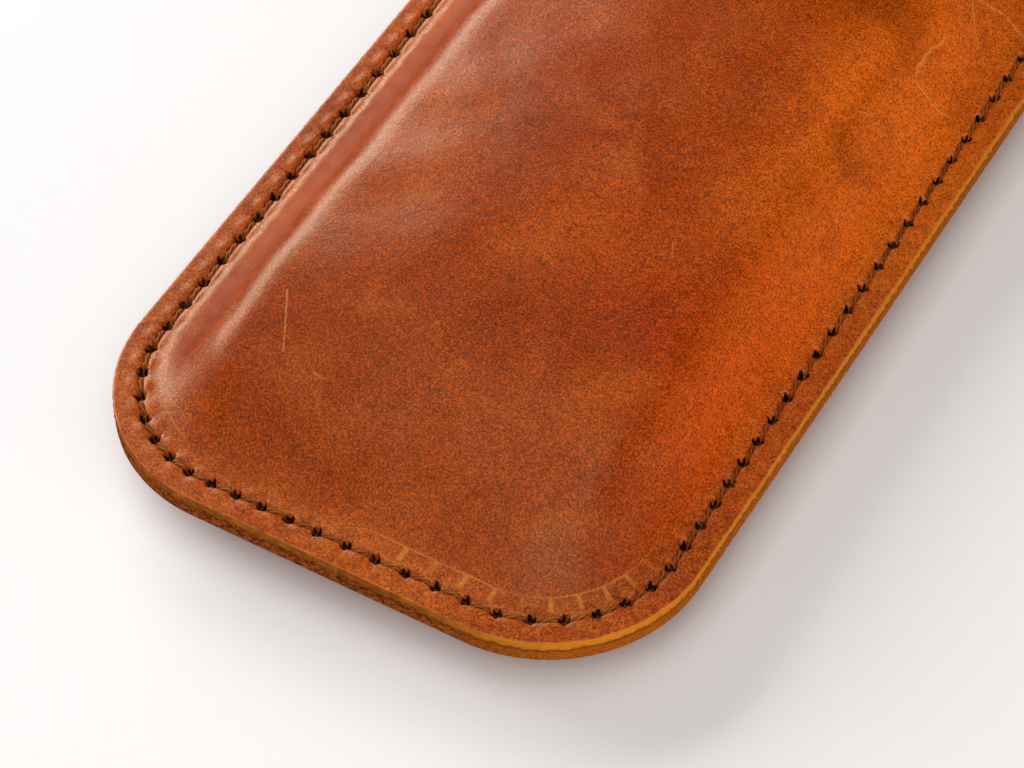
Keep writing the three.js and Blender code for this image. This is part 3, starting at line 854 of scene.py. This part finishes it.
def thread_material():
    """Waxed thread the colour of the hide, with painted shade between its plies."""
    sh = Shader("waxed_thread")
    rest = sh.attribute("rest")
    ply = sh.parts(sh.attribute("seam"))[0]
    fuzz = sh.noise(rest, 0.2, 3.0, 0.7)
    wax = sh.noise(rest, 5, 2.0)
    color = sh.blend(sh.range(wax, 0.35, 0.65), (0.3, 0.07, 0.01), (0.44, 0.12, 0.018))
    color = sh.blend(sh.range(fuzz, 0.4, 0.65, 0.3, 0), color, (0.1, 0.02, 0.004))
    # Painted shade in the valleys between the plies.
    color = sh.blend(sh.range(ply, -0.9, 0.2, 0.85, 0), color, (0.06, 0.01, 0.002))
    normal = sh.bump(fuzz, 0.4, 0.08)
    rough = sh.range(fuzz, 0.3, 0.7, 0.5, 0.68)
    return sh.finish(color, rough, normal, Specular_IOR_Level=0.25, Specular_Tint=WARM_GLOSS)


def brass_material():
    sh = Shader("antique_brass")
    rest = sh.attribute("rest")
    tarnish = sh.noise(rest, 2.6, 4.0, 0.6)
    swirl = sh.noise(rest, 0.25, 2.0, 0.5)
    color = sh.blend(sh.range(tarnish, 0.4, 0.68), (0.5, 0.34, 0.14), (0.17, 0.1, 0.04))
    dull, scuffs = sh.range(tarnish, 0.35, 0.7, 0.22, 0.48), sh.range(swirl, 0.3, 0.7, -0.03, 0.05)
    rough = sh.plus(dull, scuffs)
    return sh.finish(color, rough, sh.bump(swirl, 0.08, 0.04), Metallic=1.0)


def floor_material():
    sh = Shader("paper_sweep")
    place = sh.node("ShaderNodeTexCoord").outputs["Object"]
    fibre = sh.noise(place, 0.002, 3.0)
    color = sh.blend(fibre, (0.9, 0.9, 0.9), (0.92, 0.92, 0.92))
    return sh.finish(color, 0.9, sh.bump(fibre, 0.05, 0.05))


HIDE = hide_material("pull_up_hide")
CUT_EDGE = edge_material("cut_edge")
FLESH_SIDE = flesh_material("flesh_side", (0.24, 0.1, 0.04), (0.36, 0.17, 0.075))
LINING = flesh_material("tan_suede", (0.26, 0.115, 0.045), (0.42, 0.2, 0.085))
THREAD = thread_material()
BRASS = brass_material()


def dress(obj, *materials):
    for material in materials:
        obj.data.materials.append(material)
    return obj


def stand_in(obj, slot, *nodes):
    """Hide the CAD nodes that a piece stands in for."""
    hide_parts(*nodes)


# ---- Leather: front, back with the lower half of the strap, flap with the upper half --------

slack = ripple(11, 34, 3)
crinkle = ripple(12, 8, 2)


def moulded_relief(x, v, base):
    """Gentle waviness of leather shaped by hand; none at the cut edge."""
    away = ease((HALF_WIDTH - np.abs(x) - 4) / 10) * ease((base[:, 1] - END_Y - 4) / 12)
    return away * (0.22 * slack(base) + 0.03 * crinkle(base))


def strap_relief(x, v, base):
    away = ease((STRAP_HALF - np.abs(x)) / 10)
    return away * (0.12 * slack(base) + 0.02 * crinkle(base))


def back_outline():
    angle = np.linspace(0, math.pi / 2, 60)
    flat = HALF_WIDTH - EDGE_RADIUS
    bottom = END_Y - FOLD_Y
    corner = np.column_stack(
        [flat + EDGE_RADIUS * np.sin(angle), bottom + EDGE_RADIUS * (1 - np.cos(angle))]
    )
    t = np.linspace(0, 1, 60)
    taper = np.column_stack(
        [mix(HALF_WIDTH, STRAP_HALF, ease(t)), mix(MOUTH_Y - FOLD_Y, 0, t)]
    )
    points = np.vstack([[(0, bottom)], corner, taper, [(STRAP_HALF, MIDDLE)]])
    return polyline_outline(points, 0.4, 42)


def build_leather():
    outline = u_outline(HALF_WIDTH, EDGE_RADIUS, END_Y, MOUTH_Y, 0.22, 42)
    rows = hide_rows(14, 18)
    front = leather_piece(
        "front_hide", outline, front_point, 1, rows, [(CASE_SEAM, 1)], moulded_relief, marks=1.0
    )
    stand_in(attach(dress(front, HIDE, CUT_EDGE, FLESH_SIDE), "case"), "hide", "front_panel")

    back = leather_piece(
        "back_hide", back_outline(), hide_point, -1, back_rows(), [(BACK_SEAM, 1)], strap_relief
    )
    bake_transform(dress(back, HIDE, CUT_EDGE, FLESH_SIDE))
    stand_in(back, "hide", "back_panel")

    outline = u_outline(STRAP_HALF, FLAP_CORNER, -TIP, -MIDDLE, 0.3, 30, flip=-1.0)
    rows = hide_rows(12, 12)
    flap = leather_piece(
        "flap_hide", outline, hide_point, -1, rows, [(FLAP_SEAM, 1)], strap_relief
    )
    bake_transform(dress(flap, HIDE, CUT_EDGE, FLESH_SIDE))
    stand_in(flap, "hide", "flap_panel", "flap_spine")


def back_rows():
    """The back's columns aren't square to its seam, so its rows are shares of their length."""
    ring = 0.7
    shares = [(d - ring) / (HALF_WIDTH - ring) for d in np.arange(6.2, 1.6, -0.3)]
    middle = list(np.linspace(1, shares[0], 26)[:-1])
    outer = [(ring, f, 0, GRAIN) for f in middle + shares + [0.012, 0.0]]
    rim = [(0.35, 0, 0, GRAIN), (0.13, 0, 0.02, GRAIN), (0.04, 0, 0.07, EDGE), (0, 0, 0.17, EDGE)]
    side = [(0, 0, depth, EDGE) for depth in np.linspace(0.17, LEATHER - 0.16, 9)[1:]]
    turn = [(0.12, 0, LEATHER - 0.02, EDGE), (0.4, 0, LEATHER, FLESH)]
    inner = [(ring, f, LEATHER, FLESH) for f in np.linspace(0, 1, 26)]
    return outer + rim + side + turn + inner


build_leather()


# ---- Threads -------------------------------------------------------------------------------

def build_threads():
    limit = 1e6
    seam_runs = stitches_between(CASE_SEAM.holes, -limit, limit)
    top = stitch_tubes("seam_stitches_top", CASE_SEAM, front_point, 1, 0.0, seam_runs)
    under = stitch_tubes("seam_stitches_under", BACK_SEAM, hide_point, -1, 0.0, seam_runs)
    for obj, node in ((top, "seam_needle_thread"), (under, "seam_bobbin_thread")):
        stand_in(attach(dress(obj, THREAD), "case"), "thread", node)

    to_middle = FLAP_TOP_RUN - 1.5 - MIDDLE
    upper = stitches_between(FLAP_HOLES, -to_middle, to_middle)
    lower = stitches_between(FLAP_HOLES, -limit, -to_middle)
    lower += stitches_between(FLAP_HOLES, to_middle, limit)
    faces = (("outer", -1, 0.0, "needle"), ("inner", 1, -STACK, "bobbin"))
    for face, outward, depth, node in faces:
        flap = stitch_tubes(f"flap_stitches_{face}", FLAP_SEAM, hide_point, outward, depth, upper)
        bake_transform(dress(flap, THREAD))
        stand_in(flap, "thread", f"flap_{node}_thread")
        spine = stitch_tubes(f"spine_stitches_{face}", FLAP_SEAM, hide_point, outward, depth, lower)
        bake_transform(dress(spine, THREAD))
        stand_in(spine, "thread", f"spine_{node}_thread_left", f"spine_{node}_thread_right")


build_threads()


# ---- Suede inside: linings, dividers and the patch over the stud's rivet --------------------

BACK_LINING_LENGTH = 34
BACK_LINING_HALF = 28


def suede_rows(top, bottom, ring, middle_rows):
    outer = [(ring, f, top, FLESH) for f in np.linspace(1, 0, middle_rows)]
    rim = [(0.2, 0, top, FLESH), (0.05, 0, top + 0.06, EDGE), (0, 0, top + 0.2, EDGE)]
    turn = [(0, 0, bottom - 0.2, EDGE), (0.05, 0, bottom - 0.06, EDGE), (0.2, 0, bottom, FLESH)]
    inner = [(ring, f, bottom, FLESH) for f in np.linspace(0, 1, middle_rows)]
    return outer + rim + turn + inner


def build_linings():
    half, low, round_off = BACK_LINING_HALF, -BACK_LINING_LENGTH, 3
    angle = np.linspace(0, math.pi / 2, 12)
    corner = np.column_stack(
        [half - round_off + round_off * np.sin(angle), low + round_off * (1 - np.cos(angle))]
    )
    points = np.vstack([[(0, low)], corner, [(half, -4), (STRAP_HALF, 0), (STRAP_HALF, MIDDLE)]])
    outline = polyline_outline(points, 0.5, 16)
    rows = suede_rows(LINING_DEPTH, STACK, 0.8, 40)
    back = leather_piece("back_lining_suede", outline, hide_point, -1, rows)
    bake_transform(dress(back, LINING, LINING, LINING))
    stand_in(back, "suede", "back_lining", "spine_lining")

    outline = u_outline(STRAP_HALF, FLAP_CORNER, -TIP, -MIDDLE, 0.5, 30, flip=-1.0)
    flap = leather_piece(
        "flap_lining_suede", outline, hide_point, -1, flap_lining_rows(), [(FLAP_SEAM, -1)]
    )
    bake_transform(dress(flap, LINING, LINING, LINING))
    stand_in(flap, "suede", "flap_lining")


def flap_lining_rows():
    rows = suede_rows(LINING_DEPTH, STACK, 6, 16)
    fine = [(d, 0, STACK, FLESH) for d in np.arange(0.5, 5.6, 0.24)]
    outer = [(d, 0, LINING_DEPTH, FLESH) for d in (4, 2, 0.8)]
    return rows[:16] + outer + rows[16:22] + fine + rows[22:]


DIVIDER_X = 11
DIVIDER_THICKNESS = 1.2
DIVIDER_LOW_Y, DIVIDER_HIGH_Y = -64, 44
DIVIDER_FOOT = 8
DIVIDER_HEADROOM = 0.8


def divider(side):
    """An upright suede wall with a glued foot, its top following the inside of the front."""
    y = np.linspace(DIVIDER_LOW_Y, DIVIDER_HIGH_Y, 110)
    inside, outside = DIVIDER_X - DIVIDER_THICKNESS / 2, DIVIDER_X + DIVIDER_THICKNESS / 2
    floor_z = LINING_DEPTH
    top = front_z(outside + 0 * y, y) - LEATHER - DIVIDER_HEADROOM
    toe = inside + DIVIDER_FOOT
    wave = ripple(21 + side, 14, 2)
    rings = []
    for at_y, at_top in zip(y, top):
        lean = 0.12 * float(wave(np.array([[0, at_y, 0]]))[0])
        shelf = floor_z + DIVIDER_THICKNESS
        profile = [(inside, floor_z + 0.1), (inside + 0.1, floor_z), (toe - 0.1, floor_z)]
        profile += [(toe, floor_z + 0.15), (toe, shelf - 0.3), (toe - 0.3, shelf)]
        profile += [(outside + 0.8, shelf)]
        profile += [(outside + 0.23, shelf + 0.23), (outside, shelf + 0.8)]
        height = np.linspace(shelf + 1.4, at_top - 0.35, 8)
        profile += [(outside + lean * (z - shelf) / 6, z) for z in height]
        profile += [(outside + lean - 0.1, at_top - 0.08), (outside + lean - 0.35, at_top)]
        profile += [(inside + lean + 0.35, at_top), (inside + lean + 0.1, at_top - 0.08)]
        profile += [(inside + lean * (z - shelf) / 6, z) for z in height[::-1]]
        rings.append([(side * x, at_y, z) for x, z in profile])
    faces = tube_faces(len(rings), len(rings[0]))
    word = "left" if side < 0 else "right"
    piece = mesh_object(f"divider_{word}_suede", np.array(rings).reshape(-1, 3), faces)
    sharpen(piece)
    stand_in(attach(dress(piece, LINING), "case"), "suede", f"divider_{word}")


def sharpen(piece, degrees=50):
    piece.data.set_sharp_from_angle(angle=math.radians(degrees))


def turned(name, profile, z, material, body, node, slot, segments=72):
    """A turned piece from (radius, height) pairs, from the axis and back to it."""
    ends, ring = (profile[0], profile[-1]), profile[1:-1]
    angle = np.linspace(0, 2 * math.pi, segments, endpoint=False)
    points = [
        (r * math.cos(a), SNAP_Y + r * math.sin(a), z + h) for r, h in ring for a in angle
    ]
    points += [(0, SNAP_Y, z + h) for _, h in ends]
    *faces, first_cap, last_cap = tube_faces(len(ring), segments)
    first, last = len(points) - 2, len(points) - 1
    for tip, cap in ((first, first_cap), (last, last_cap)):
        faces += [(tip, a, b) for a, b in zip(cap, cap[1:] + cap[:1])]
    piece = mesh_object(name, np.array(points), faces)
    sharpen(piece, 35)
    stand_in(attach(dress(piece, material), body), slot, node)


METAL_GAP = 0.2
RIVET_RADIUS = 1.8
CAP = [
    (0, -STACK - 0.3), (RIVET_RADIUS, -STACK - 0.3), (RIVET_RADIUS, 0), (6.0, 0), (6.17, 0.06),
    (6.25, 0.2), (6.25, 0.38), (6.15, 0.52), (5.6, 0.84), (4.9, 1.04), (4.2, 1.18), (3.2, 1.32),
    (2.2, 1.4), (1.1, 1.44), (0, 1.45),
]
SOCKET = [
    (0, -0.4), (3.3, -0.4), (3.45, -0.5), (3.5, -0.7), (3.5, -1.4), (3.4, -1.66), (3.5, -1.75),
    (4.4, -1.75), (4.9, -1.68), (5.4, -1.45), (5.65, -1.15), (5.75, -0.5), (5.5, 0), (0, 0),
]
STUD = [
    (0, 0), (5.2, 0), (5.2, 0.25), (5.1, 0.33), (4.8, 0.38), (2.3, 0.46), (2.15, 0.58), (2.1, 0.9),
    (2.2, 1.05), (2.5, 1.17), (2.6, 1.32), (2.58, 1.48), (2.4, 1.64), (2.0, 1.77), (1.2, 1.84),
    (0, 1.85),
]
RIVET = [
    (0, -0.55), (4.3, -0.55), (4.52, -0.46), (4.6, -0.3), (4.6, 0), (RIVET_RADIUS, 0),
    (RIVET_RADIUS, LEATHER + METAL_GAP), (0, LEATHER + METAL_GAP),
]
PATCH = [(0, -0.4), (8.8, -0.4), (8.95, -0.3), (9, 0), (8.95, 0.3), (8.8, 0.4), (4, 0.42), (0, 0.4)]


def build_snap():
    lining_z = CROWN_Z + FLAP_GAP_AT_SNAP
    rivet_z = CROWN_Z - LEATHER - METAL_GAP
    turned("cap_brass", CAP, lining_z + STACK + METAL_GAP, BRASS, "flap", "snap_cap", "snap_metal")
    turned("socket_brass", SOCKET, lining_z - METAL_GAP, BRASS, "flap", "snap_socket", "snap_metal")
    turned("stud_brass", STUD, CROWN_Z + METAL_GAP, BRASS, "case", "snap_stud", "snap_metal")
    turned("rivet_brass", RIVET, rivet_z, BRASS, "case", "stud_rivet", "snap_metal")
    turned("patch_suede", PATCH, rivet_z - 1.4, LINING, "case", "stud_patch", "suede")


build_linings()
divider(-1)
divider(1)
build_snap()


# ---- Camera, light and floor ---------------------------------------------------------------

def camera():
    data = bpy.data.cameras.new("camera")
    data.lens, data.sensor_width = 136.05, 36
    data.clip_start, data.clip_end = 0.01, 20
    obj = add_object("camera", data)
    azimuth, elevation, roll = math.radians(30.93), math.radians(50.36), math.radians(-1.06)
    level = math.cos(elevation)
    back = Vector((math.sin(azimuth) * level, -math.cos(azimuth) * level, math.sin(elevation)))
    right = Vector((math.cos(azimuth), math.sin(azimuth), 0))
    up = back.cross(right)
    turned = right * math.cos(roll) + up * math.sin(roll)
    above = up * math.cos(roll) - right * math.sin(roll)
    target = Vector((6.2, SEAM_END_Y + 32.9, FLANGE_Z)) * MM
    rotation = Matrix((turned, above, back)).transposed().to_4x4()
    obj.matrix_world = Matrix.Translation(target + back * 0.5025) @ rotation
    bpy.context.scene.camera = obj


def softbox(name, azimuth, elevation, size, radiance, tint=(1.0, 1.0, 1.0), distance=1.0):
    """A rectangular light facing the object. The azimuth is in degrees left of straight back."""
    turn, rise = math.radians(azimuth), math.radians(elevation)
    level = math.cos(rise)
    way = Vector((-math.sin(turn) * level, math.cos(turn) * level, math.sin(rise)))
    data = bpy.data.lights.new(name, "AREA")
    data.shape, data.size, data.size_y = "RECTANGLE", *size
    data.energy = radiance * math.pi * size[0] * size[1]
    data.color = tint
    obj = add_object(name, data)
    aim = Vector((0, SEAM_END_Y + 40, FLANGE_Z)) * MM
    facing = way.to_track_quat("Z", "Y").to_matrix().to_4x4()
    obj.matrix_world = Matrix.Translation(aim + way * distance) @ facing


def floor():
    half = 3.0
    corners = [(-half, -half, 0), (half, -half, 0), (half, half, 0), (-half, half, 0)]
    mesh = bpy.data.meshes.new("sweep")
    mesh.from_pydata(corners, [], [(0, 1, 2, 3)])
    obj = add_object("sweep", mesh)
    obj.data.materials.append(floor_material())
    obj.visible_glossy = False  # the sweep is matt paper, so the wax mirrors the dark room instead


def world(strength):
    made = bpy.data.worlds.new("studio")
    made.use_nodes = True
    made.node_tree.nodes["Background"].inputs["Color"].default_value = (1, 1, 1, 1)
    made.node_tree.nodes["Background"].inputs["Strength"].default_value = strength
    bpy.context.scene.world = made


camera()
floor()
world(0.05)
softbox("left_box", 67, 25, (1.05, 0.5), 7.4)
softbox("top_box", 175, 86, (0.7, 0.7), 1.5)
softbox("front_fill", 192, 46, (0.9, 0.7), 1.9)
softbox("right_fill", 252, 50, (0.9, 0.7), 0.9, (1.0, 0.84, 0.74))
softbox("right_low", 268, 12, (0.7, 0.26), 4.6, (1.0, 0.86, 0.78))
bpy.context.scene.view_settings.view_transform = "Standard"
